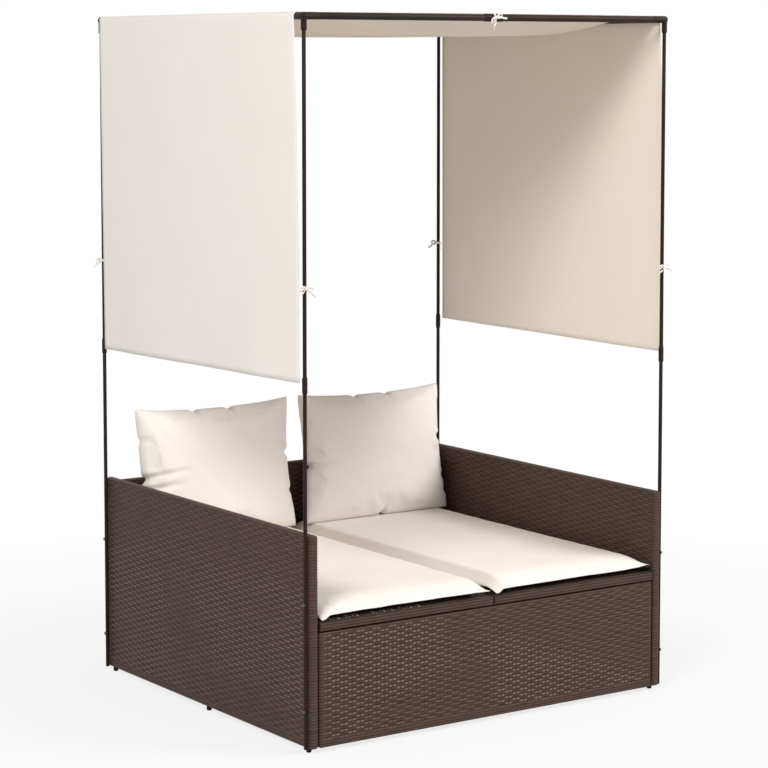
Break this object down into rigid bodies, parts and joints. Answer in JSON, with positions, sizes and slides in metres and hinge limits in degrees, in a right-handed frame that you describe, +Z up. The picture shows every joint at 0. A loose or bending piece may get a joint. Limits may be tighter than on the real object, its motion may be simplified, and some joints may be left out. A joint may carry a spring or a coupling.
{
  "type": "outdoor daybed with canopy",
  "caption": "Woven outdoor daybed with low front, back and side walls, loose seat pads and back pillows, and a cloth canopy tied over a thin pole frame.",
  "frame": {"origin": "on the ground, under the middle of the overall box", "axes": "+Z up, +X to the right of someone who faces the open front, front towards -Y"},
  "size_m": [1.2908, 1.194, 2.0123],
  "materials": {
    "weave": "dark brown woven resin strand, satin",
    "steel": "powder coated, very dark brown, satin",
    "plastic": "moulded, very dark brown",
    "bolt": "blackened, domed head",
    "pad_cloth": "plain weave cover, cream",
    "canopy_cloth": "thin plain weave, cream, lets light through"
  },
  "bodies": {
    "daybed": {"weave_side_left": "weave", "frame_side_left": "steel", "weave_side_right": "weave", "frame_side_right": "steel", "weave_front": "weave", "frame_front": "steel", "weave_back": "weave", "frame_back": "steel", "foot_left_front": "plastic", "foot_left_middle": "plastic", "foot_left_rear": "plastic", "foot_right_front": "plastic", "foot_right_middle": "plastic", "foot_right_rear": "plastic", "pole_lower_front_left": "steel", "pole_lower_front_right": "steel", "pole_lower_rear_left": "steel", "pole_lower_rear_right": "steel", "pole_upper_front_left": "steel", "pole_upper_front_right": "steel", "pole_upper_rear_left": "steel", "pole_upper_rear_right": "steel", "coupler_front_left": "plastic", "coupler_front_right": "plastic", "coupler_rear_left": "plastic", "coupler_rear_right": "plastic", "bolt_front_left_1": "bolt", "bolt_front_left_2": "bolt", "bolt_front_right_1": "bolt", "bolt_front_right_2": "bolt", "bolt_rear_left_1": "bolt", "bolt_rear_left_2": "bolt", "bolt_rear_right_1": "bolt", "bolt_rear_right_2": "bolt", "connector_front_left": "plastic", "connector_front_right": "plastic", "connector_rear_left": "plastic", "connector_rear_right": "plastic", "bar_front_left": "steel", "bar_front_right": "steel", "bar_rear_left": "steel", "bar_rear_right": "steel", "bar_side_left": "steel", "bar_side_right": "steel", "seat_frame_left": "weave", "seat_frame_right": "weave", "seat_deck_left": "weave", "seat_deck_right": "weave", "centre_support": "steel", "canopy": "canopy_cloth", "tie_front_left": "canopy_cloth", "tie_front_right": "canopy_cloth", "tie_rear_left": "canopy_cloth", "tie_rear_right": "canopy_cloth", "tie_bar_front": "canopy_cloth", "tie_bar_rear": "canopy_cloth"},
    "left_pad": {"seat_pad_left": "pad_cloth"},
    "right_pad": {"seat_pad_right": "pad_cloth"},
    "left_pillow": {"pillow_left": "pad_cloth"},
    "right_pillow": {"pillow_right": "pad_cloth"}
  },
  "joints": [
    {"name": "left_pad_lift", "type": "slide", "parent": "daybed", "child": "left_pad", "axis": [0, 0, 1], "range_m": [0, 0.25]},
    {"name": "right_pad_lift", "type": "slide", "parent": "daybed", "child": "right_pad", "axis": [0, 0, 1], "range_m": [0, 0.25]},
    {"name": "left_pillow_lift", "type": "slide", "parent": "left_pad", "child": "left_pillow", "axis": [0, 0, 1], "range_m": [0, 0.45]},
    {"name": "right_pillow_lift", "type": "slide", "parent": "right_pad", "child": "right_pillow", "axis": [0, 0, 1], "range_m": [0, 0.45]}
  ]
}
